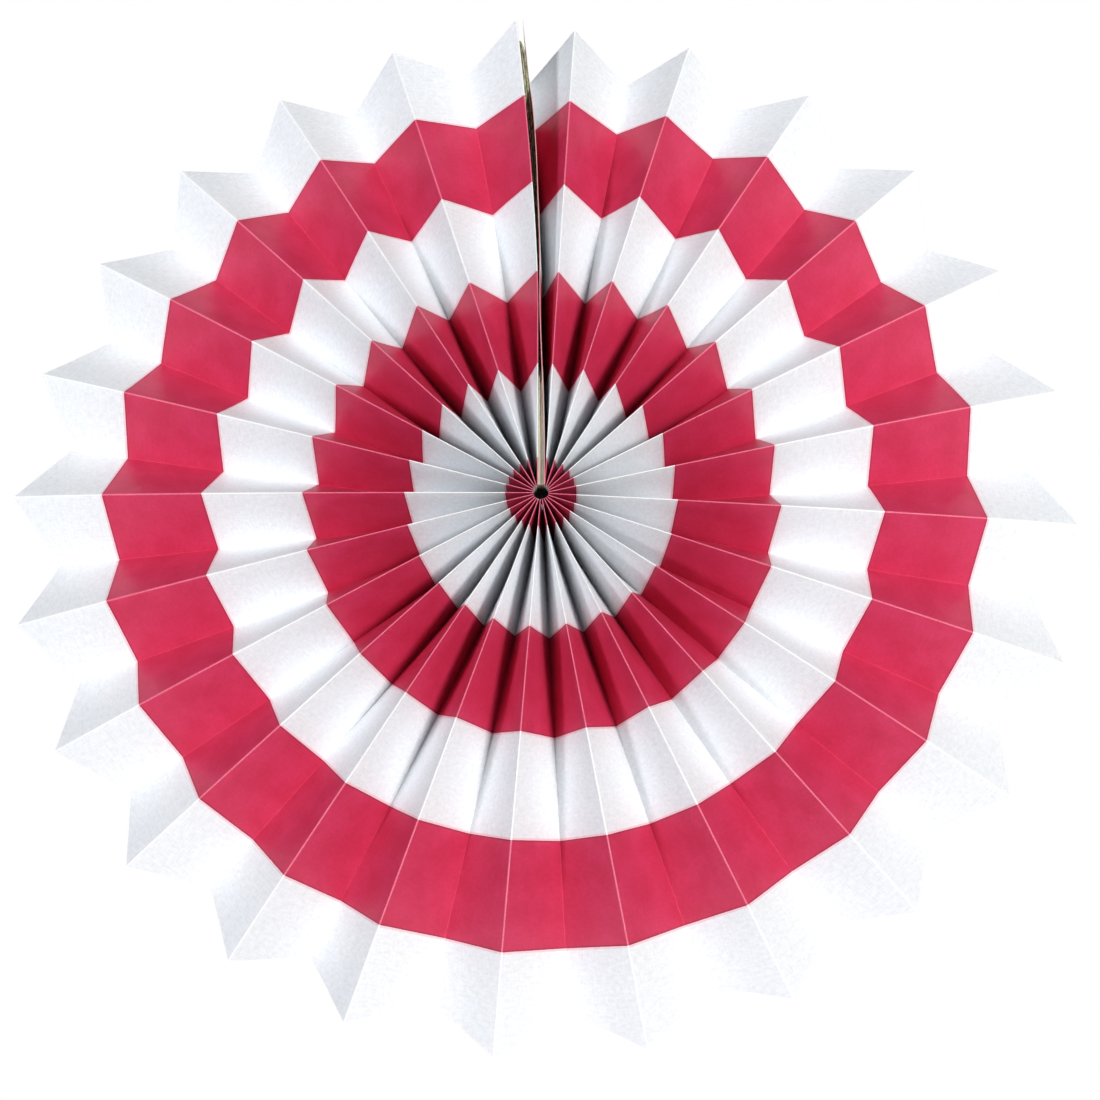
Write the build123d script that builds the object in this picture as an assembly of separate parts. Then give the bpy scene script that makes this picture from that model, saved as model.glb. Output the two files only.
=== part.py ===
from build123d import *
from math import atan2, cos, degrees, pi, radians, sin, sqrt
import os

# An opened paper fan rosette. One long strip of card is folded into an accordion of
# equal panels, its two end panels are backed with greyboard strips, a thread gathers
# the inner edge, and the fan is opened all the way round until the two boards meet.
#
# Sizes are in millimetres. The origin is the centre of the rosette, half way through
# its depth. X runs to the right, Z runs up along the seam, and the printed front
# faces -Y. A "mountain" is a fold that stands to the front, a "valley" one that lies
# to the back. Folds are counted clockwise, as seen from the front, from the seam.

# The folded card: the excess is the strip's length beyond the rim's circle
tip_radius = 150.0
petal_depth = 9.3
panel_width = 21.0
paper_thickness = 0.22
strip_excess = 0.114

# The greyboard strips on the end panels, and the adhesive strip between them
board_thickness = 0.75
board_margin = 0.5
board_inset = 7.0
tape_thickness = 0.2
tape_width = 12.0
tape_start = 9.0
tape_end_margin = 0.7

# How the seam stands: leaning over more and more through its bend, with its boards
# bowed, and straight from there to the rim
seam_lean = 4.7
lean_power = 1.5
seam_bow = 0.8
bend_start = 57.5
straight_end = 3.7

# The gathered hub, where each ply has a little play, and its binding thread. The card is
# faceted with a margin round each punched hole
hub_play = 0.025
thread_diameter = 0.6
thread_clearance = 0.15
thread_edge_distance = 3.2
thread_sides = 8
punch_margin = 0.3

# How much wider than the average each pleat is opened: those to the right of the seam
# a little, those to the left a little less, the one where these meet, low on the left,
# least of all, and the seam's own neighbours unevenly
right_pleat_extra = 0.039
left_pleat_extra = -0.019
tight_pleat_extra = -0.098
first_pleat_extra = -0.067
last_pleat_extra = 0.021
seam_half_pleat = 0.409
tight_pleat_place = 0.56

# How finely the long folds are divided, from the hub outwards
inner_span_count = 5
outer_span_count = 6

# Two panels make a petal, and one more at each end of the strip carries a board
petal_count = round((1 + strip_excess) * pi * tip_radius / panel_width)
tight_pleat = round(tight_pleat_place * petal_count)
half_pleats = 2 * petal_count - 1
ply_count = 2 * petal_count + 1

# The hub can't close further than its plies, its boards and its adhesive let it
hub_stack = ply_count * (paper_thickness + hub_play) + 2 * board_thickness + tape_thickness
hub_radius = hub_stack / (2 * pi)
thread_ring_radius = hub_radius + thread_edge_distance
hole_radius = thread_diameter / 2 + thread_clearance
round_turns = [2 * pi * (side + 0.5) / thread_sides for side in range(thread_sides)]

front = Vector(0, -1, 0)
half_thickness = paper_thickness / 2
notch_radius = tip_radius - petal_depth
bend_end = notch_radius - board_inset - straight_end


def on_plan(angle, radius):
    """A point on the rosette's own plane, at a clockwise angle from the top."""
    return Vector(radius * sin(radians(angle)), 0, radius * cos(radians(angle)))


def angle_of(point):
    """The angle of a point from the top, clockwise, and below 0 on the left half."""
    return degrees(atan2(point.X, point.Z))


def fold_height(radius):
    """How far the folds stand off the middle plane, for panels of the full width."""
    room = (2 * pi * radius - 2 * board_thickness) / half_pleats
    return sqrt(panel_width**2 - room**2) / 2


def seam_height(radius):
    """The seam's front edge: level with the other folds up to the bend, then straight."""
    return fold_height(min(radius, bend_start))


seam_front = seam_height(bend_start)
seam_back = seam_front - panel_width


def bend(radius):
    """How far the seam has come through its bend at this radius, from 0 to 1."""
    return min(max((radius - bend_start) / (bend_end - bend_start), 0), 1)


def board_gap(radius):
    """The gap between the boards: the adhesive's thickness, and more where they bow."""
    return tape_thickness + seam_bow * sin(pi * bend(radius))


def left_board_face(radius):
    """Where the left board's outer face stands in X."""
    straight = max((radius - bend_end) / (bend_end - bend_start), 0)
    lean = seam_lean * (bend(radius) ** lean_power + lean_power * straight)
    return -board_thickness - tape_thickness / 2 - lean


def right_board_face(radius):
    """Where the right board's outer face stands in X."""
    return left_board_face(radius) + 2 * board_thickness + board_gap(radius)


def seam_point(face, side, height, radius):
    """The middle of the card glued to a board's outer face, side -1 left, 1 right."""
    return Vector(face(radius) + side * half_thickness, -height, radius)


def last_mountain(radius):
    """The fold over the left board's front edge."""
    return seam_point(left_board_face, -1, seam_height(radius), radius)


def first_valley(radius):
    """The fold behind the right board's back edge."""
    return seam_point(right_board_face, 1, seam_height(radius) - panel_width, radius)


def pleat_share(number):
    """How wide the pleat that follows a mountain is opened, against the average."""
    if number == 1:
        return 1 + first_pleat_extra
    if number == petal_count - 1:
        return 1 + last_pleat_extra
    if number == tight_pleat:
        return 1 + tight_pleat_extra
    return 1 + (right_pleat_extra if number < tight_pleat else left_pleat_extra)


def mountain_angles():
    """The mountains' angles at the rim, in the turn that the seam leaves free."""
    start = angle_of(first_valley(tip_radius))
    turn = 360 + angle_of(last_mountain(tip_radius)) - start
    shares = [seam_half_pleat]
    shares += [pleat_share(number) for number in range(1, petal_count)]
    average = turn / sum(shares)
    return [start + average * sum(shares[:count]) for count in range(1, petal_count)]


def hub_angle(half_pleat):
    """Every ply takes the same room round the hub, between the two boards."""
    start = angle_of(first_valley(hub_radius))
    turn = 360 + angle_of(last_mountain(hub_radius)) - start
    return start + turn * half_pleat / half_pleats


rim_angles = mountain_angles()


def mountain(number, radius):
    """A point on a mountain: it runs straight, in plan, from the hub to the rim."""
    if number == petal_count:
        return last_mountain(radius)
    inner = on_plan(hub_angle(2 * number - 1), hub_radius)
    outer = on_plan(rim_angles[number - 1], tip_radius)
    travel = (radius - hub_radius) / (tip_radius - hub_radius)
    return inner + (outer - inner) * travel + front * fold_height(radius)


def valley(number, radius):
    """A point on a valley: it lies one panel's width from both its mountains."""
    if number == 0:
        return first_valley(radius)
    before = mountain(number, radius)
    after = mountain(number + 1, radius)
    span = after - before
    away = (span * (front.dot(span) / span.dot(span)) - front).normalized()
    return (before + after) * 0.5 + away * sqrt(panel_width**2 - span.dot(span) / 4)


def panel_shape(mountain_point, valley_point):
    """A panel's own width, its width in plan and its depth, at one radius."""
    edge = mountain_point - valley_point
    depth = abs(front.dot(edge))
    plan = (edge - front * front.dot(edge)).length
    return edge.length, plan, depth


def average_shape(shapes):
    """The mean of the panels on the two sides of a fold."""
    return [sum(values) / len(values) for values in zip(*shapes)]


def across(point):
    """The clockwise direction at a point, square to its radius."""
    return Vector(point.Z, 0, -point.X).normalized()


def fold_corners(point, shapes, outward):
    """The two corners outside a fold and the one inside it."""
    width, plan, depth = average_shape(shapes)
    ridge = across(point) * (half_thickness * (width - plan) / depth)
    crest = point + outward * half_thickness
    inside = point - outward * (half_thickness * width / plan)
    return [crest - ridge, crest + ridge], [inside]


def seam_fold_corners(point, shape, outward, board_side):
    """The same for a fold beside a board, where one of its panels stands upright."""
    width, plan, depth = shape
    ridge = half_thickness * (width - plan) / depth
    board_face = Vector(board_side * half_thickness, 0, 0)
    crest = point + outward * half_thickness
    outside = [crest - Vector(board_side * ridge, 0, 0), crest + board_face]
    inside = point - outward * (half_thickness * (width + depth) / plan) - board_face
    return outside[::board_side], [inside]


def mountain_corners(number, radius):
    """A mountain's corners on the printed side and on the back."""
    point = mountain(number, radius)
    before = panel_shape(point, valley(number - 1, radius))
    if number == petal_count:
        return seam_fold_corners(point, before, front, 1)
    after = panel_shape(point, valley(number, radius))
    return fold_corners(point, [before, after], front)


def valley_corners(number, radius):
    """A valley's corners on the printed side and on the back."""
    point = valley(number, radius)
    after = panel_shape(mountain(number + 1, radius), point)
    if number == 0:
        outside, inside = seam_fold_corners(point, after, -front, -1)
    else:
        before = panel_shape(mountain(number, radius), point)
        outside, inside = fold_corners(point, [before, after], -front)
    return inside, outside


def sheet_section(mountain_radius, valley_radius):
    """The printed side and the back of the whole strip, from one end to the other."""
    side = Vector(half_thickness, 0, 0)
    first_edge = seam_point(right_board_face, 1, seam_height(mountain_radius), mountain_radius)
    last_height = seam_height(valley_radius) - panel_width
    last_edge = seam_point(left_board_face, -1, last_height, valley_radius)
    folds = [([first_edge + side], [first_edge - side])]
    for number in range(petal_count):
        folds.append(valley_corners(number, valley_radius))
        folds.append(mountain_corners(number + 1, mountain_radius))
    folds.append(([last_edge + side], [last_edge - side]))
    return folds


def flat_facet(*corners):
    """One flat facet."""
    return Face(Wire.make_polygon(corners, close=True))


def join_chains(chain, following):
    """The facets between the same run of corners at two radii."""
    facets = []
    for index in range(len(chain) - 1):
        facets.append(flat_facet(chain[index], chain[index + 1], following[index + 1]))
        facets.append(flat_facet(chain[index], following[index + 1], following[index]))
    return facets


def cut_edge(folds):
    """The cut edge of the card: two facets a panel, and one at each fold."""
    facets = []
    for printed, back in folds[1:-1]:
        facets.append(flat_facet(*printed, *back))
    for (printed, back), (next_printed, next_back) in zip(folds, folds[1:]):
        facets.append(flat_facet(printed[-1], next_printed[0], next_back[0]))
        facets.append(flat_facet(printed[-1], next_back[0], back[-1]))
    return facets


def solid_of(facets):
    """A closed solid from its facets, with its faces turned outwards."""
    solid = Solid(Shell(facets))
    return solid if solid.volume > 0 else -solid


def spans(start, end, count, power=1):
    """The far ends of count steps from start to end, closer together near the start."""
    return [start + (end - start) * (step / count) ** power for step in range(1, count + 1)]


# Radii at which the card, the boards and the adhesive bend together, with the punched
# holes between the second and the third
punch_start = thread_ring_radius - hole_radius - punch_margin
punch_end = thread_ring_radius + hole_radius + punch_margin
stations = [hub_radius, punch_start, punch_end]
stations += spans(punch_end, bend_start, inner_span_count, 2)
stations += spans(bend_start, bend_end, outer_span_count)


def at_height(start, end, height):
    """The point of a straight line that stands at this height towards the front."""
    start_height, end_height = front.dot(start), front.dot(end)
    return start + (end - start) * ((height - start_height) / (end_height - start_height))


def punched_holes():
    """The corners of every panel's hole, on the printed side and on the back."""
    holes = [([], []) for panel in range(ply_count)]
    for turn in round_turns:
        radius = thread_ring_radius + hole_radius * cos(turn)
        height = hole_radius * sin(turn)
        folds = sheet_section(radius, radius)
        for hole, fold, next_fold in zip(holes, folds, folds[1:]):
            for side in (0, 1):
                hole[side].append(at_height(fold[side][-1], next_fold[side][0], height))
    return holes


def round_a_hole(hole, window):
    """The facets between a hole and the four corners round it, in the same order."""
    facets = []
    quarters = [int(turn / (pi / 2)) for turn in round_turns]
    for side in range(thread_sides):
        following = (side + 1) % thread_sides
        corner, next_corner = window[quarters[side]], window[quarters[following]]
        facets.append(flat_facet(corner, hole[side], hole[following]))
        if next_corner is not corner:
            facets.append(flat_facet(corner, hole[following], next_corner))
    return facets


def punched_panels(folds, following):
    """Both sides of every panel round its hole, the blunt folds, and the holes' walls."""
    facets = []
    for side in (0, 1):
        for fold, far_fold in zip(folds, following):
            facets += join_chains(fold[side], far_fold[side])
    panels = zip(punched_holes(), folds, folds[1:], following, following[1:])
    for hole, start, end, far_start, far_end in panels:
        for side in (0, 1):
            ends = [(start[side][-1], far_start[side][-1]), (end[side][0], far_end[side][0])]
            ends.sort(key=lambda pair: front.dot(pair[0]))
            (low, far_low), (high, far_high) = ends
            facets += round_a_hole(hole[side], [far_high, high, low, far_low])
        facets += join_chains(hole[0] + hole[0][:1], hole[1] + hole[1][:1])
    return facets


def pleated_sheet():
    """The folded card: one strip, cut to a point on every mountain."""
    sections = [sheet_section(radius, radius) for radius in stations]
    sections.append(sheet_section(tip_radius, notch_radius))
    facets = cut_edge(sections[0]) + cut_edge(sections[-1])
    for index, (folds, following) in enumerate(zip(sections, sections[1:])):
        if index == 1:
            facets += punched_panels(folds, following)
        else:
            for side in (0, 1):
                chain = [corner for fold in folds for corner in fold[side]]
                next_chain = [corner for fold in following for corner in fold[side]]
                facets += join_chains(chain, next_chain)
        for end in (0, -1):
            chain = [folds[end][0][0], folds[end][1][0]]
            next_chain = [following[end][0][0], following[end][1][0]]
            facets += join_chains(chain, next_chain)
    return solid_of(facets)


def strip(low_face, high_face, front_height, back_height, radii, front_end, back_end):
    """A flat strip that stands in the seam between two faces and bends with them."""
    outlines = []
    for front_radius, back_radius in [(r, r) for r in radii] + [(front_end, back_end)]:
        outlines.append([
            Vector(low_face(front_radius), -front_height, front_radius),
            Vector(high_face(front_radius), -front_height, front_radius),
            Vector(high_face(back_radius), -back_height, back_radius),
            Vector(low_face(back_radius), -back_height, back_radius),
        ])
    facets = []
    for outline in (outlines[0], outlines[-1]):
        facets += join_chains([outline[0], outline[1]], [outline[3], outline[2]])
    for outline, following in zip(outlines, outlines[1:]):
        facets += join_chains(outline + outline[:1], following + following[:1])
    return solid_of(facets)


def end_board(low_face, high_face):
    """A greyboard strip, cut to the petal's slant but short of its edge, and punched."""
    board = strip(
        low_face,
        high_face,
        seam_front - board_margin,
        seam_back + board_margin,
        stations,
        tip_radius - board_inset,
        notch_radius - board_inset,
    )
    middle = (low_face(thread_ring_radius) + high_face(thread_ring_radius)) / 2
    hole = Cylinder(hole_radius, 2 * board_thickness, rotation=(0, 90, 0))
    return board - Pos(middle, 0, thread_ring_radius) * hole


def left_board_inner_face(radius):
    """Where the left board's inner face stands in X."""
    return left_board_face(radius) + board_thickness


def right_board_inner_face(radius):
    """Where the right board's inner face stands in X."""
    return right_board_face(radius) - board_thickness


def tape_face(radius):
    """Where the adhesive's free face stands in X: it stays on the left board."""
    return left_board_inner_face(radius) + tape_thickness


def adhesive_strip():
    """The double-sided strip that holds the two boards together."""
    middle = (seam_front + seam_back) / 2
    end = notch_radius - board_inset - tape_end_margin
    radii = [tape_start] + [radius for radius in stations if radius > tape_start]
    return strip(
        left_board_inner_face,
        tape_face,
        middle + tape_width / 2,
        middle - tape_width / 2,
        radii,
        end,
        end,
    )


def binding_thread():
    """The thread through all the holes, straight from each fold's line to the next."""
    sections = []
    for number in range(petal_count):
        for fold in (valley(number, thread_ring_radius), mountain(number + 1, thread_ring_radius)):
            middle = fold - front * front.dot(fold)
            outward = middle.normalized()
            section = [outward * cos(turn) + front * sin(turn) for turn in round_turns]
            section = [middle + side * (thread_diameter / 2) for side in section]
            sections.append(section + section[:1])
    facets = []
    for section, following in zip(sections, sections[1:] + sections[:1]):
        facets += join_chains(section, following)
    return solid_of(facets)


nodes = {
    "pleated_sheet": pleated_sheet(),
    "left_end_board": end_board(left_board_face, left_board_inner_face),
    "right_end_board": end_board(right_board_inner_face, right_board_face),
    "seam_adhesive_strip": adhesive_strip(),
    "binding_thread": binding_thread(),
}

os.makedirs("parts", exist_ok=True)
for name, shape in nodes.items():
    export_step(shape, f"parts/{name}.step")
    print(name, "solids", len(shape.solids()), "volume", round(shape.volume, 1))
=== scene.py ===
from math import atan2, cos, degrees, pi, radians, sin, sqrt

import bpy
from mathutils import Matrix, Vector, noise


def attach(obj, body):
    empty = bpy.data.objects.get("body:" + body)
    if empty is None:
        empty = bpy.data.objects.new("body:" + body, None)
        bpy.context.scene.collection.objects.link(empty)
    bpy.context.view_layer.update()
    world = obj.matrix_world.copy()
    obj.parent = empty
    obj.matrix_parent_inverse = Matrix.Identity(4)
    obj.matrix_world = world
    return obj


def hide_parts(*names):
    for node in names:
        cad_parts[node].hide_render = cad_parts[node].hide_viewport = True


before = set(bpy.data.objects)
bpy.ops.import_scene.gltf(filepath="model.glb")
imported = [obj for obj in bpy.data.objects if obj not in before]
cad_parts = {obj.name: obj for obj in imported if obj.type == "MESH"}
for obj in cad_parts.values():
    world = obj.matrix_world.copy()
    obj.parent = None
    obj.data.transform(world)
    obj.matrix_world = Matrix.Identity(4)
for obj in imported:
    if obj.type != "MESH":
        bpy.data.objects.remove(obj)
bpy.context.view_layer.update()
bpy.ops.object.select_all(action="DESELECT")


# The card: one long printed strip, scored and folded into 51 equal panels, gathered at
# its inner edge and opened all the way round. Its printed front faces -Y, a mountain is a
# fold that stands to the front, and a valley one that lies to the back.
#
# The petals' tips end a hair inside the solid's, and its two ends lean over in the seam.
mm = 0.001
tip_radius = 150 * mm
notch_radius = 140.7 * mm
tip_trim = 0.02 * mm
panel_width = 21 * mm
card_thickness = 0.22 * mm
petal_count = 25
panel_count = 2 * petal_count + 1
half_pleats = 2 * petal_count - 1

board_thickness = 0.75 * mm
tape_thickness = 0.2 * mm
seam_stack = 2 * board_thickness + tape_thickness
seam_lean = 4.7 * mm
lean_power = 1.5
seam_bow = 0.8 * mm
bend_start = 57.5 * mm
bend_end = 130 * mm
closing_reach = 1.45 * mm
closing_start = 10 * mm
closing_full = 66 * mm
closing_fall = 82 * mm
closing_end = 127 * mm

hub_play = 0.025 * mm
hub_stack = panel_count * (card_thickness + hub_play) + seam_stack
hub_radius = hub_stack / (2 * pi)
hole_edge_distance = 3.2 * mm
hole_ring_radius = hub_radius + hole_edge_distance
hole_radius = 0.45 * mm

first_pleat_share = 0.933
last_pleat_share = 1.021
right_pleat_share = 1.039
tight_pleat_share = 0.902
left_pleat_share = 0.981
seam_pleat_share = 0.409
tight_pleat = 14

front = Vector((0, -1, 0))


def on_plan(angle, radius):
    """A point on the rosette's own plane, at a clockwise angle from the top."""
    return Vector((radius * sin(radians(angle)), 0, radius * cos(radians(angle))))


def angle_of(point):
    """The angle of a point from the top, clockwise, and below 0 on the left half."""
    return degrees(atan2(point.x, point.z))


def fold_height(radius):
    """How far the folds stand off the middle plane, for panels of the full width."""
    room = (2 * pi * radius - 2 * board_thickness) / half_pleats
    return sqrt(panel_width**2 - room**2) / 2


def seam_height(radius):
    """The seam's front edge: level with the other folds up to the bend, then straight."""
    return fold_height(min(radius, bend_start))


def left_board_face(radius):
    """Where the left board's outer face stands in X: it leans over towards the rim."""
    bend = min(max((radius - bend_start) / (bend_end - bend_start), 0), 1)
    straight = max((radius - bend_end) / (bend_end - bend_start), 0)
    lean = seam_lean * (bend**lean_power + lean_power * straight)
    return -board_thickness - tape_thickness / 2 - lean


def closing(radius):
    """How far the seam closes again half way out, where the boards are squeezed thin."""
    rise = (radius - closing_start) / (closing_full - closing_start)
    fall = (closing_end - radius) / (closing_end - closing_fall)
    share = min(max(min(rise, fall), 0), 1)
    return closing_reach * share**2 * (3 - 2 * share)


def seam_room(radius):
    """The room for the boards and the film between them, which bow apart a little."""
    bend = min(max((radius - bend_start) / (bend_end - bend_start), 0), 1)
    return seam_stack + seam_bow * sin(pi * bend) - closing(radius)


def right_board_face(radius):
    """Where the right board's outer face stands."""
    return left_board_face(radius) + seam_room(radius)


def seam_point(face, side, height, radius):
    """The middle of the card glued to a board's outer face, side -1 left, 1 right."""
    return Vector((face(radius) + side * card_thickness / 2, -height, radius))


def last_mountain(radius):
    """The fold over the left board's front edge."""
    return seam_point(left_board_face, -1, seam_height(radius), radius)


def first_valley(radius):
    """The fold behind the right board's back edge."""
    return seam_point(right_board_face, 1, seam_height(radius) - panel_width, radius)


def pleat_share(number):
    """How wide the pleat that follows a mountain is opened, against the average."""
    if number == 1:
        return first_pleat_share
    if number == petal_count - 1:
        return last_pleat_share
    if number == tight_pleat:
        return tight_pleat_share
    return right_pleat_share if number < tight_pleat else left_pleat_share


def turn_between(radius):
    """Where the folds' turn round the rosette starts, and how far it goes, at a radius."""
    start = angle_of(first_valley(radius))
    return start, 360 + angle_of(last_mountain(radius)) - start


def hub_angle(half_pleat):
    """Every ply takes the same room round the hub."""
    start, turn = turn_between(hub_radius)
    return start + turn * half_pleat / half_pleats


rim_start, rim_turn = turn_between(tip_radius)
shares = [seam_pleat_share] + [pleat_share(number) for number in range(1, petal_count)]
rim_angles = [
    rim_start + rim_turn * sum(shares[:count]) / sum(shares) for count in range(1, petal_count)
]


def mountain(number, radius):
    """A point on a mountain: it runs straight, in plan, from the hub to the rim."""
    if number == petal_count:
        return last_mountain(radius)
    inner = on_plan(hub_angle(2 * number - 1), hub_radius)
    outer = on_plan(rim_angles[number - 1], tip_radius)
    travel = (radius - hub_radius) / (tip_radius - hub_radius)
    return inner.lerp(outer, travel) + front * fold_height(radius)


def valley(number, radius):
    """A point on a valley: it lies one panel's width from both its mountains."""
    if number == 0:
        return first_valley(radius)
    before = mountain(number, radius)
    after = mountain(number + 1, radius)
    span = after - before
    away = (span * (front.dot(span) / span.dot(span)) - front).normalized()
    return (before + after) / 2 + away * sqrt(panel_width**2 - span.dot(span) / 4)


def fold_line(mountain_radius, valley_radius):
    """The strip's end, all its folds and its other end, at one distance from the hub."""
    line = [seam_point(right_board_face, 1, seam_height(mountain_radius), mountain_radius)]
    for number in range(petal_count):
        line.append(valley(number, valley_radius))
        line.append(mountain(number + 1, mountain_radius))
    last_height = seam_height(valley_radius) - panel_width
    line.append(seam_point(left_board_face, -1, last_height, valley_radius))
    return line


# Rows of the strip, from its inner edge to the petals' tips: the radius on the mountains
# and on the valleys. The punched holes lie on the row in the middle of three close ones.
neck_radius = 3.6 * mm
rows = [(radius, radius) for radius in (hub_radius, neck_radius)]
punched_row = len(rows) + 1
rows += [(hole_ring_radius + step * hole_radius,) * 2 for step in (-1, 0, 1)]
inner_rows = 22
row_spread = 1.15
for step in range(1, inner_rows + 1):
    radius = rows[punched_row + 1][0]
    radius += (bend_end - radius) * (step / inner_rows) ** row_spread
    rows.append((radius, radius))
outer_rows = 5
for step in range(1, outer_rows + 1):
    share = step / outer_rows
    tip = bend_end + (tip_radius - tip_trim - bend_end) * share
    notch = bend_end + (notch_radius - tip_trim - bend_end) * share
    rows.append((tip, notch))

# Columns of the strip: a few on every panel, the middle three at its punched hole, and a
# round bunch on every fold. An end of the strip has a single column.
panel_marks = ["near", "hole_start", "hole", "hole_end", "far"]
fold_steps = 6
crease_radius = 0.11 * mm
crease_flattening = 0.1 * mm
columns = [(0, None)]
for panel in range(panel_count):
    columns += [(panel, mark) for mark in panel_marks]
    if panel < panel_count - 1:
        columns += [(panel + 1, step) for step in range(fold_steps + 1)]
columns.append((panel_count, None))


def fold_frame(line, index):
    """A fold's apex, the way into it, the way across it, and half its opening's sine."""
    apex = line[index]
    radial = Vector((apex.x, 0, apex.z)).normalized()
    sides = []
    for neighbour in (line[index - 1], line[index + 1]):
        side = neighbour - apex
        sides.append((side - radial * side.dot(radial)).normalized())
    inward = (sides[0] + sides[1]).normalized()
    across = (sides[1] - sides[0]).normalized()
    return apex, inward, across, sides[1].dot(across)


def fold_point(line, index, step, convex):
    """A point on a fold: its outer skin is a small arc, its inner skin a sharp corner."""
    apex, inward, across, opening = fold_frame(line, index)
    if not convex:
        return apex + inward * (card_thickness / 2 / opening)
    bend = min(crease_radius, crease_flattening / (1 / opening - 1))
    reach = atan2(sqrt(1 - opening**2), opening)
    turn = reach * (2 * step / fold_steps - 1)
    centre = apex + inward * (bend / opening)
    arm = -inward * cos(turn) + across * sin(turn)
    return centre + arm * (bend + card_thickness / 2)


def strip_side(line, panel, side):
    """The two ends of a panel's skin, from the fold before it to the fold after it."""
    start, end = line[panel], line[panel + 1]
    along = (end - start).normalized()
    radial = Vector((start.x + end.x, 0, start.z + end.z)).normalized()
    outward = along.cross(radial).normalized() * (side * card_thickness / 2)
    skin = []
    for index, step in ((panel, fold_steps), (panel + 1, 0)):
        if index in (0, panel_count):
            skin.append(line[index] + outward)
        else:
            convex = (index % 2 == 0) == (side > 0)
            skin.append(fold_point(line, index, step, convex))
    return skin, outward.normalized() * side


ripple_height = 0.32 * mm
ripple_length = 26 * mm
ripple_start = 12 * mm
ripple_rise = 40 * mm
panel_shift = 3.7
noise_row = 0.5


def ripple(panel, share, radius):
    """The card is never quite flat: it bellies a little, one way or the other."""
    fade = min(max((radius - ripple_start) / ripple_rise, 0), 1)
    swell = noise.noise(Vector((panel * panel_shift, radius / ripple_length, noise_row)))
    return ripple_height * fade * swell * sin(pi * share)


mark_share = 0.45


def panel_point(line, panel, mark, side, radius, squeeze):
    """A point on a panel's skin, and how far across the panel it lies, from 0 to 1."""
    (start, end), outward = strip_side(line, panel, side)
    crossing = start.y / (start.y - end.y)
    hole_share = hole_radius / panel_width * squeeze
    share = {
        "near": crossing * mark_share,
        "hole_start": crossing - hole_share,
        "hole": crossing,
        "hole_end": crossing + hole_share,
        "far": 1 - (1 - crossing) * mark_share,
    }[mark]
    return start.lerp(end, share) + outward * ripple(panel, share, radius), share


strip_length = panel_count * panel_width
strip_width = tip_radius - hub_radius
bpy.ops.mesh.primitive_grid_add(
    x_subdivisions=len(columns) - 1, y_subdivisions=len(rows) - 1, size=1
)
card = bpy.context.object
card.name = "printed_card_strip"
card.scale = (strip_length, strip_width, 1)
bpy.ops.object.transform_apply(location=False, rotation=False, scale=True)


def grid_place(point):
    """The column and the row of the flat strip's grid that a point belongs to."""
    column = round((point.x / strip_length + 0.5) * (len(columns) - 1))
    row = round((point.y / strip_width + 0.5) * (len(rows) - 1))
    return column, row


bpy.ops.object.mode_set(mode="EDIT")
bpy.ops.mesh.select_mode(type="VERT")
bpy.ops.mesh.select_all(action="DESELECT")
bpy.ops.object.mode_set(mode="OBJECT")
for vertex in card.data.vertices:
    column, row = grid_place(vertex.co)
    vertex.select = row == punched_row and columns[column][1] == "hole"
bpy.ops.object.mode_set(mode="EDIT")
bpy.ops.mesh.delete(type="VERT")
bpy.ops.object.mode_set(mode="OBJECT")

for name in ("printed_card", "plain_card_back", "cut_card_edge"):
    card.data.materials.append(bpy.data.materials.new(name))
wall = card.modifiers.new("thickness", "SOLIDIFY")
wall.thickness = card_thickness
wall.offset = -1
wall.material_offset = 1
wall.material_offset_rim = 2
bpy.ops.object.modifier_apply(modifier=wall.name)

lines = [fold_line(*radii) for radii in rows]
strip_place = {}
for vertex in card.data.vertices:
    column, row = grid_place(vertex.co)
    index, mark = columns[column]
    side = 1 if vertex.co.z > -card_thickness / 2 else -1
    line = list(lines[row])
    mountain_radius, valley_radius = rows[row]
    if mark is None:
        panel = min(index, panel_count - 1)
        skin, outward = strip_side(line, panel, side)
        place, share, radius = skin[index - panel], index, mountain_radius
    elif isinstance(mark, int):
        convex = (index % 2 == 0) == (side > 0)
        place = fold_point(line, index, mark, convex)
        share = index + (mark / fold_steps - 0.5) * crease_radius / panel_width
        radius = mountain_radius if index % 2 == 0 else valley_radius
    else:
        corner = mark in ("hole_start", "hole_end") and abs(row - punched_row) == 1
        squeeze = 1
        if corner:
            squeeze = sqrt(0.5)
            radius = hole_ring_radius + (row - punched_row) * hole_radius * squeeze
            line = fold_line(radius, radius)
            mountain_radius = valley_radius = radius
        place, share = panel_point(line, index, mark, side, mountain_radius, squeeze)
        ends = (mountain_radius, valley_radius)
        start, end = ends if index % 2 == 0 else ends[::-1]
        radius = start + (end - start) * share
        share += index
    strip_place[vertex.index] = (share * panel_width, radius)
    vertex.co = place

strip_map = card.data.uv_layers[0]
strip_map.name = "strip"
for loop in card.data.loops:
    strip_map.data[loop.index].uv = strip_place[loop.vertex_index]

merge_distance = 0.002 * mm
smooth_angle = 35
bpy.ops.object.mode_set(mode="EDIT")
bpy.ops.mesh.select_all(action="SELECT")
bpy.ops.mesh.remove_doubles(threshold=merge_distance)
bpy.ops.mesh.dissolve_degenerate(threshold=merge_distance)
bpy.ops.mesh.select_all(action="DESELECT")
bpy.ops.object.mode_set(mode="OBJECT")
bpy.ops.object.shade_smooth_by_angle(angle=radians(smooth_angle))


def srgb(red, green, blue):
    """A colour given as 0 to 255 a channel, as the shader's own linear one."""
    linear = []
    for value in (red, green, blue):
        share = value / 255
        linear.append(share / 12.92 if share < 0.04045 else ((share + 0.055) / 1.055) ** 2.4)
    return (*linear, 1)


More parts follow.
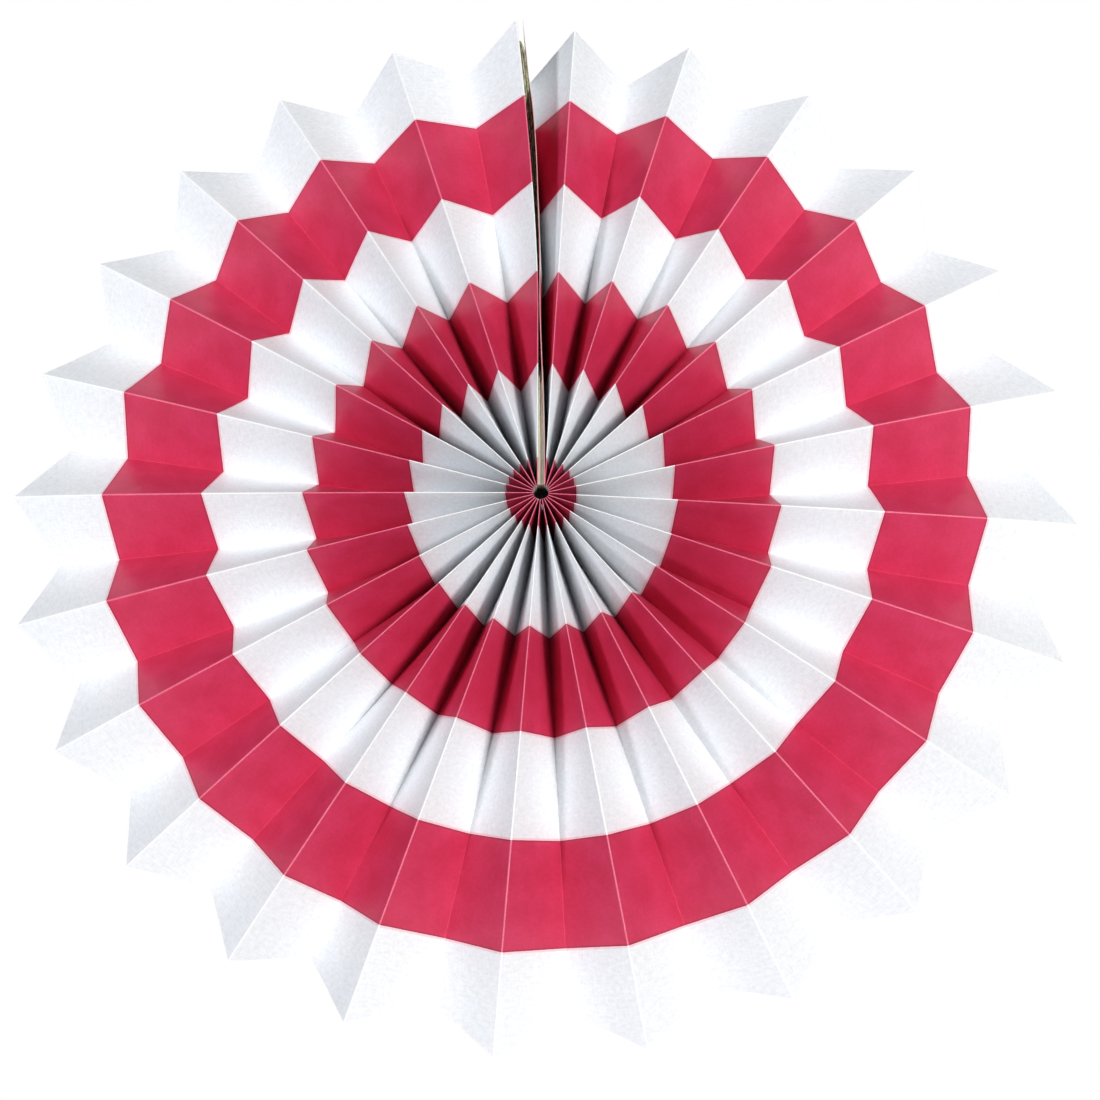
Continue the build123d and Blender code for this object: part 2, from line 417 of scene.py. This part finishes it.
class Channel:
    """A number that varies over a surface, with which sums are written as in Python."""

    def __init__(self, finish, socket):
        self.finish = finish
        self.socket = socket

    def combine(self, operation, first, second=0):
        return self.finish.add("ShaderNodeMath", {"operation": operation}, {0: first, 1: second})

    def __add__(self, other):
        return self.combine("ADD", self, other)

    def __sub__(self, other):
        return self.combine("SUBTRACT", self, other)

    def __mul__(self, other):
        return self.combine("MULTIPLY", self, other)

    def __truediv__(self, other):
        return self.combine("DIVIDE", self, other)

    def __lt__(self, other):
        return self.combine("LESS_THAN", self, other)

    def __abs__(self):
        return self.combine("ABSOLUTE", self)

    def __rsub__(self, other):
        return self.combine("SUBTRACT", other, self)

    __radd__ = __add__

    def fraction(self):
        return self.combine("FRACT", self)

    def ramp(self, start, end):
        """0 up to start and 1 from end on, or the other way round, and smooth between."""
        settings = {"interpolation_type": "SMOOTHSTEP"}
        values = {"Value": self, "From Min": start, "From Max": end}
        return self.finish.add("ShaderNodeMapRange", settings, values)


class Finish:
    """A material in the making: its nodes are added and linked by name."""

    def __init__(self, material):
        self.material = material
        material.use_nodes = True
        self.nodes = material.node_tree.nodes
        self.links = material.node_tree.links
        self.surface = self.nodes["Principled BSDF"]

    def join(self, socket, value):
        """Links a channel to a socket, or sets the socket to a value."""
        if isinstance(value, Channel):
            self.links.new(value.socket, socket)
        else:
            socket.default_value = value

    def add(self, kind, settings, values, output=0):
        """A new node with its settings and its sockets' values, as its output's channel."""
        node = self.nodes.new(kind)
        for name, setting in settings.items():
            setattr(node, name, setting)
        for name, value in values.items():
            self.join(node.inputs[name], value)
        return Channel(self, node.outputs[output])

    def flat_place(self):
        """The place on the flat strip: how far along it, and how far from the hub."""
        return self.add("ShaderNodeUVMap", {"uv_map": "strip"}, {})

    def solid_place(self):
        """The place in the rosette's own axes."""
        return self.add("ShaderNodeTexCoord", {}, {}, output="Object")

    def axis(self, place, number):
        """One of a place's three numbers, counted from 0."""
        return self.add("ShaderNodeSeparateXYZ", {}, {"Vector": place}, output=number)

    def mix(self, share, first, second):
        """The first colour, turned into the second by the share."""
        values = {0: share, 6: first, 7: second}
        return self.add("ShaderNodeMix", {"data_type": "RGBA"}, values, output=2)

    def shade(self, colour, tone):
        """The colour, made lighter or darker by a number round about 1."""
        grey = self.add("ShaderNodeCombineColor", {}, {0: tone, 1: tone, 2: tone})
        settings = {"data_type": "RGBA", "blend_type": "MULTIPLY"}
        return self.add("ShaderNodeMix", settings, {0: 1.0, 6: colour, 7: grey}, output=2)

    def speckle(self, place, size, detail=2, stretch=(1, 1, 1)):
        """Noise from 0 to 1 whose grains have about this size."""
        scale = [part / size for part in stretch]
        spot = self.add("ShaderNodeMapping", {}, {"Vector": place, "Scale": scale})
        return self.add("ShaderNodeTexNoise", {}, {"Vector": spot, "Scale": 1, "Detail": detail})

    def bump(self, height, depth, under=None):
        """A relief of this depth, in metres, where the height runs from 0 to 1."""
        values = {"Height": height, "Distance": depth, "Strength": 1}
        if under is not None:
            values["Normal"] = under
        return self.add("ShaderNodeBump", {}, values)

    def dress(self, **values):
        """Sets the surface's own sockets, which are named with underscores."""
        for name, value in values.items():
            title = name.replace("_", " ").title().replace("Ior", "IOR")
            self.join(self.surface.inputs[title], value)


band_start = 9.5 * mm
band_width = 28.65 * mm
disc_spread = 0.5 * mm
disc_reach = (24 * mm, 12 * mm)
ink_bleed = 0.12 * mm
ink_edge = (0.46 * mm, 0.2 * mm)
ink_halo = (0.7 * mm, 0.45 * mm)
valley_highlight_width = (0.34 * mm, 0.1 * mm)
mountain_crest = (0.26 * mm, 0.08 * mm)
grain_depth = 0.2
red_hub_shade_amount = 0.1
hub_shade_tone = 0.7
hub_shade_reach = (4 * mm, 22 * mm)
red_hub_shade_reach = (60 * mm, 8 * mm)
crest_reach = (4 * mm, 30 * mm)
hub_crest_share = 0.6
card_red = srgb(206, 53, 92)
card_deep_red = srgb(198, 44, 80)
card_white = srgb(237, 240, 243)
edge_pink = srgb(246, 208, 214)
edge_red = srgb(132, 22, 62)
worn_pink = srgb(230, 112, 138)
worn_white = srgb(252, 252, 252)
valley_highlight_red = srgb(222, 76, 112)

# The print: a red disc and two red rings on white. Its edges are a little darker, its
# valleys carry a painted highlight, its mountains are rubbed, and round the hub it is
# darkened with painted shade for the deep, narrow pleats.
printed = Finish(card.data.materials[0])
place = printed.flat_place()
along, outward = printed.axis(place, 0), printed.axis(place, 1)
fine = printed.speckle(place, 0.35 * mm, detail=3)
fibre = printed.speckle(place, 0.5 * mm, detail=2, stretch=(1, 0.22, 1))
weave = printed.speckle(place, 0.8 * mm, detail=1, stretch=(0.4, 1, 1))
cloud = printed.speckle(place, 9 * mm, detail=3)

bleed = (fine - 0.5) * ink_bleed
spread = outward.ramp(*disc_reach) * disc_spread
band = (outward + bleed - spread - band_start) / band_width
red_share = ((band + 1) / 2).fraction() < 0.5
to_edge = abs((band + 0.5).fraction() - 0.5) * band_width
fold = along / (2 * panel_width)
to_mountain = abs((fold + 0.5).fraction() - 0.5) * (2 * panel_width)
to_valley = abs(fold.fraction() - 0.5) * (2 * panel_width)

red = printed.mix(cloud.ramp(0.3, 0.7), card_red, card_deep_red)
red = printed.mix(to_edge.ramp(*ink_edge) * 0.8, red, edge_red)
# Painted highlight: a paler red line along every valley.
red = printed.mix(to_valley.ramp(*valley_highlight_width) * 0.6, red, valley_highlight_red)
white = printed.mix(to_edge.ramp(*ink_halo), card_white, edge_pink)
ink = printed.mix(red_share, white, red)
# Painted shade: the whole print darkens towards the hub, where the pleats are deep and narrow.
hub_painted_shade = outward.ramp(*hub_shade_reach) * (1 - hub_shade_tone) + hub_shade_tone
# Painted shade: the red is darkened a little more towards the hub.
red_hub_shade = 1 - red_share * outward.ramp(*red_hub_shade_reach) * red_hub_shade_amount
grain = (fine + fibre + weave - 1.5) * grain_depth + 1
ink = printed.shade(ink, grain * hub_painted_shade * red_hub_shade)
crest_width = outward.ramp(*crest_reach) * (1 - hub_crest_share) + hub_crest_share
crest = to_mountain / crest_width
worn = crest.ramp(*mountain_crest) * fine.ramp(0.25, 0.5)
ink = printed.mix(worn, ink, printed.mix(red_share, worn_white, worn_pink))
relief = printed.bump(fine, 0.02 * mm, printed.bump(fibre, 0.03 * mm))
printed.dress(base_color=ink, normal=relief, roughness=0.48 + (fine - 0.5) * 0.15)
printed.dress(specular_ior_level=0.5)

# The back is bare card; the first panel's back, glued in the seam where it hides, is painted
# dark brown as shade.
card_plain = srgb(244, 243, 240)
seam_shade_brown = srgb(104, 62, 64)
back = Finish(card.data.materials[1])
place = back.flat_place()
fine = back.speckle(place, 0.4 * mm, detail=3)
fibre = back.speckle(place, 1.2 * mm, detail=2, stretch=(1, 0.25, 1))
tone = back.shade(card_plain, (fine + fibre - 1) * 0.06 + 1)
# Painted shade: the first panel's back is dark brown.
tone = back.mix(back.axis(place, 0) < panel_width, tone, seam_shade_brown)
back.dress(base_color=tone, roughness=0.75 + (fine - 0.5) * 0.1)
back.dress(normal=back.bump(fibre, 0.04 * mm))

# The cut edge is white card, pinker on the strip's own end, and painted dark as shadow deep
# inside the hub.
core_white = srgb(250, 244, 236)
core_shade = srgb(232, 220, 210)
end_edge_pink = srgb(214, 146, 142)
hub_shadow_dark = srgb(44, 32, 26)
hub_shadow_depth = (-8.5 * mm, -4.5 * mm)
pink_end_reach = (128 * mm, 122 * mm)
end_margin = 0.1 * mm
edge = Finish(card.data.materials[2])
place = edge.flat_place()
along, outward = edge.axis(place, 0), edge.axis(place, 1)
place = edge.solid_place()
fine = edge.speckle(place, 0.12 * mm, detail=2)
tone = edge.mix(fine.ramp(0.3, 0.7), core_white, core_shade)
# The strip's own cut end is made pinker, except near the petals' tips.
pink_end = (along < end_margin) * outward.ramp(*pink_end_reach)
tone = edge.mix(pink_end * 0.9, tone, end_edge_pink)
# Painted shadow: the cut edges go dark deeper inside the hub hole.
hub_shadowed = (outward < neck_radius) * edge.axis(place, 1).ramp(*hub_shadow_depth)
edge.dress(base_color=edge.mix(hub_shadowed, tone, hub_shadow_dark), roughness=0.9)
edge.dress(normal=edge.bump(fine, 0.05 * mm))

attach(card, "root")
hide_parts("pleated_sheet")


# The seam: two stiffening strips of greyboard, glued to the outer panels of the fan, and
# the film with glue on both its faces that joins them. The boards were cut by guillotine.
# They are set back where the card closes over them, and crushed thin at their tips.
board_inset = 7 * mm
board_margin = 0.5 * mm
film_margin = 1 * mm
hidden_start = 34 * mm
hidden_end = 127 * mm
hidden_fade = 5 * mm
hidden_depth = 4.2 * mm
crushed_length = 6 * mm
crushed_share = 0.3
seam_rows = 60
seam_columns = 5

board_tan = srgb(176, 172, 142)
board_brown = srgb(84, 80, 54)
board_light = srgb(206, 202, 180)
lit_board_tone = srgb(224, 218, 196)
lit_board_reach = (48 * mm, 14 * mm)
hub_reach = 2.4 * mm
greyboard = Finish(bpy.data.materials.new("greyboard"))
place = greyboard.solid_place()
depth, outward = greyboard.axis(place, 1), greyboard.axis(place, 2)
layers = greyboard.speckle(place, 0.3 * mm, detail=3, stretch=(1, 0.3, 0.12))
flecks = greyboard.speckle(place, 0.25 * mm, detail=1)
tone = greyboard.mix(layers.ramp(0.35, 0.65), board_tan, board_brown)
tone = greyboard.mix(flecks.ramp(0.6, 0.7), tone, board_light)
# Painted light: the boards are lighter towards the hub, where they stand flush at the front.
tone = greyboard.mix(outward.ramp(*lit_board_reach) * 0.7, tone, lit_board_tone)
# Painted shadow: the boards' ends go dark deeper inside the hub hole.
tone = greyboard.mix((outward < hub_reach) * depth.ramp(*hub_shadow_depth), tone, hub_shadow_dark)
greyboard.dress(base_color=tone, roughness=0.85 + (flecks - 0.5) * 0.1)
greyboard.dress(normal=greyboard.bump(layers, 0.12 * mm), specular_ior_level=0.3)

shaded_film_milky = srgb(84, 70, 58)
shaded_film_clear = srgb(56, 44, 38)
adhesive = Finish(bpy.data.materials.new("adhesive_film"))
bubbles = adhesive.speckle(adhesive.solid_place(), 1.4 * mm, detail=3)
# Painted shade: the film is dark brown, for the shaded gap between the boards.
tone = adhesive.mix(bubbles.ramp(0.4, 0.62), shaded_film_milky, shaded_film_clear)
adhesive.dress(base_color=tone, roughness=0.7 + bubbles * 0.2, specular_ior_level=0.2)
adhesive.dress(normal=adhesive.bump(bubbles, 0.04 * mm))


def set_back(radius):
    """How far a front edge in the seam lies behind the card's own."""
    share = min(radius - hidden_start, hidden_end - radius) / hidden_fade
    return board_margin + hidden_depth * min(max(share, 0), 1)


def squeezed(radius, end):
    """What the closed seam and the crushed tips leave of the boards' own thickness."""
    whole = min(max((end - radius) / crushed_length, 0), 1)
    tip_share = crushed_share + (1 - crushed_share) * sqrt(whole)
    return tip_share * min(seam_room(radius) / seam_stack, 1)


def seam_strip(name, node, offset, thickness, margin, finish):
    """A strip in the seam whose left face stands this far from the seam's left face."""
    bpy.ops.mesh.primitive_grid_add(
        x_subdivisions=seam_columns, y_subdivisions=seam_rows, size=1
    )
    strip = bpy.context.object
    strip.name = name
    wall = strip.modifiers.new("thickness", "SOLIDIFY")
    wall.thickness = thickness
    bpy.ops.object.modifier_apply(modifier=wall.name)
    front_end = tip_radius - board_inset - margin
    back_end = notch_radius - board_inset - margin
    seam_front = seam_height(bend_start)
    for vertex in strip.data.vertices:
        across, out = vertex.co.x + 0.5, vertex.co.y + 0.5
        end = front_end + (back_end - front_end) * across
        radius = hub_radius + margin + (end - hub_radius - margin) * out
        front_height = seam_front - set_back(radius) - margin
        back_height = seam_front - panel_width + board_margin + margin
        height = front_height + (back_height - front_height) * across
        reach = offset + (thickness if vertex.co.z > -thickness / 2 else 0)
        reach *= squeezed(radius, end)
        vertex.co = (left_board_face(radius) + reach, -height, radius)
    bpy.ops.object.mode_set(mode="EDIT")
    bpy.ops.mesh.select_all(action="SELECT")
    bpy.ops.mesh.normals_make_consistent(inside=False)
    bpy.ops.object.mode_set(mode="OBJECT")
    strip.data.materials.append(finish.material)
    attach(strip, "root")
    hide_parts(node)


# Both boards and the film lie side by side, counted from the left board's outer face.
seam_strip(
    name="left_greyboard_strip",
    node="left_end_board",
    offset=0,
    thickness=board_thickness,
    margin=0,
    finish=greyboard,
)
seam_strip(
    name="right_greyboard_strip",
    node="right_end_board",
    offset=board_thickness + tape_thickness,
    thickness=board_thickness,
    margin=0,
    finish=greyboard,
)
seam_strip(
    name="adhesive_film_strip",
    node="seam_adhesive_strip",
    offset=board_thickness,
    thickness=tape_thickness,
    margin=film_margin,
    finish=adhesive,
)


# The binding thread: a cotton twine of three strands, drawn through the punched holes
# round the hub and pulled tight, so that every ply is gathered at its inner edge.
thread_radius = 0.3 * mm
strands = 3
twists = 34
strand_core = 0.68
strand_relief = 0.3
ring_steps = 30 * petal_count
section_steps = 12
bpy.ops.mesh.primitive_torus_add(
    major_segments=ring_steps,
    minor_segments=section_steps,
    major_radius=hole_ring_radius,
    minor_radius=thread_radius,
    rotation=(pi / 2, 0, 0),
)
thread = bpy.context.object
thread.name = "twisted_binding_thread"
bpy.ops.object.transform_apply(location=False, rotation=True, scale=False)
for vertex in thread.data.vertices:
    outward_axis = Vector((vertex.co.x, 0, vertex.co.z)).normalized()
    offset = vertex.co - outward_axis * hole_ring_radius
    ring_turn = atan2(vertex.co.x, vertex.co.z)
    section_turn = atan2(offset.y, offset.dot(outward_axis))
    strand = abs(cos(strands / 2 * section_turn - twists * strands / 2 * ring_turn))
    vertex.co = outward_axis * hole_ring_radius
    vertex.co += offset * (strand_core + strand_relief * sqrt(strand))
bpy.ops.object.shade_smooth()
thread_red = srgb(150, 24, 50)
thread_dark = srgb(112, 14, 34)
cotton = Finish(bpy.data.materials.new("cotton_thread"))
lint = cotton.speckle(cotton.solid_place(), 0.08 * mm, detail=3)
cotton.dress(base_color=cotton.mix(lint, thread_red, thread_dark), roughness=0.9)
cotton.dress(normal=cotton.bump(lint, 0.03 * mm))
thread.data.materials.append(cotton.material)
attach(thread, "root")
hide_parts("binding_thread")


# The studio: a pale floor a little below the hanging rosette, a white surround, a soft key
# lamp on the right, a weaker one that fills from the left, and one behind for its back.
floor_drop = 40 * mm
floor_size = 6.0
shadow_reach = (0.12, 0.24)
floor_height = -tip_radius - floor_drop
bpy.ops.mesh.primitive_plane_add(size=floor_size, location=(0, 0, floor_height))
floor = bpy.context.object
floor.name = "floor"
ground = Finish(bpy.data.materials.new("pale_floor"))
length = {"operation": "LENGTH"}
away = ground.add("ShaderNodeVectorMath", length, {0: ground.solid_place()}, output="Value")
ground.dress(base_color=srgb(244, 244, 244), roughness=0.9)
glow = ground.add("ShaderNodeEmission", {}, {"Color": (1, 1, 1, 1), "Strength": 1.0})
seen = ground.add("ShaderNodeLightPath", {}, {}, output="Is Camera Ray")
shine = Channel(ground, ground.surface.outputs["BSDF"])
# Only a camera sees the floor fade to plain white beyond the rosette's shadow.
share = away.ramp(*shadow_reach) * seen
blend = ground.add("ShaderNodeMixShader", {}, {0: share, 1: shine, 2: glow})
ground.links.new(blend.socket, ground.nodes["Material Output"].inputs["Surface"])
floor.data.materials.append(ground.material)

world = bpy.data.worlds.new("surround")
bpy.context.scene.world = world
world.use_nodes = True
nodes, links = world.node_tree.nodes, world.node_tree.links
surround_strength = 0.08
surround_blue = (0.86, 0.92, 1, 1)
surround_white = (1, 1, 1, 1)
light_path = nodes.new("ShaderNodeLightPath")
plain = nodes.new("ShaderNodeMath")
plain.operation = "MAXIMUM"
links.new(light_path.outputs["Is Camera Ray"], plain.inputs[0])
links.new(light_path.outputs["Is Transmission Ray"], plain.inputs[1])
strength = nodes.new("ShaderNodeMapRange")
strength.inputs["To Min"].default_value = surround_strength
strength.inputs["To Max"].default_value = 1
links.new(plain.outputs[0], strength.inputs["Value"])
links.new(strength.outputs[0], nodes["Background"].inputs["Strength"])
tint = nodes.new("ShaderNodeMix")
tint.data_type = "RGBA"
tint.inputs[6].default_value = surround_blue
tint.inputs[7].default_value = surround_white
links.new(plain.outputs[0], tint.inputs[0])
links.new(tint.outputs[2], nodes["Background"].inputs["Color"])


def lamp(name, place, size, power, colour):
    """A square soft lamp that faces the rosette."""
    bpy.ops.object.light_add(type="AREA", location=place)
    light = bpy.context.object
    light.name = name
    light.rotation_euler = (-Vector(place)).to_track_quat("-Z", "Y").to_euler()
    light.data.size = size
    light.data.energy = power
    light.data.color = colour


lamp("key", (0.64, -1.12, -0.08), 0.2, 12.7, (1, 0.985, 0.97))
lamp("fill", (-0.86, -0.97, -0.06), 0.2, 7.2, (0.92, 0.95, 1))
lamp("back", (-0.45, 1.15, 0.5), 0.4, 7, (1, 0.99, 0.98))

photo_width = 1100
focal_pixels = 1457.5
sensor_width = 36
camera_place = (0.01085, -0.39853, -0.11721)
camera_aim = Vector((-0.0207, 0.968, 0.2502))
bpy.ops.object.camera_add(location=camera_place)
camera = bpy.context.object
camera.rotation_euler = camera_aim.to_track_quat("-Z", "Y").to_euler()
camera.data.sensor_width = sensor_width
camera.data.lens = sensor_width * focal_pixels / photo_width
bpy.context.scene.camera = camera
bpy.context.scene.view_settings.view_transform = "Standard"
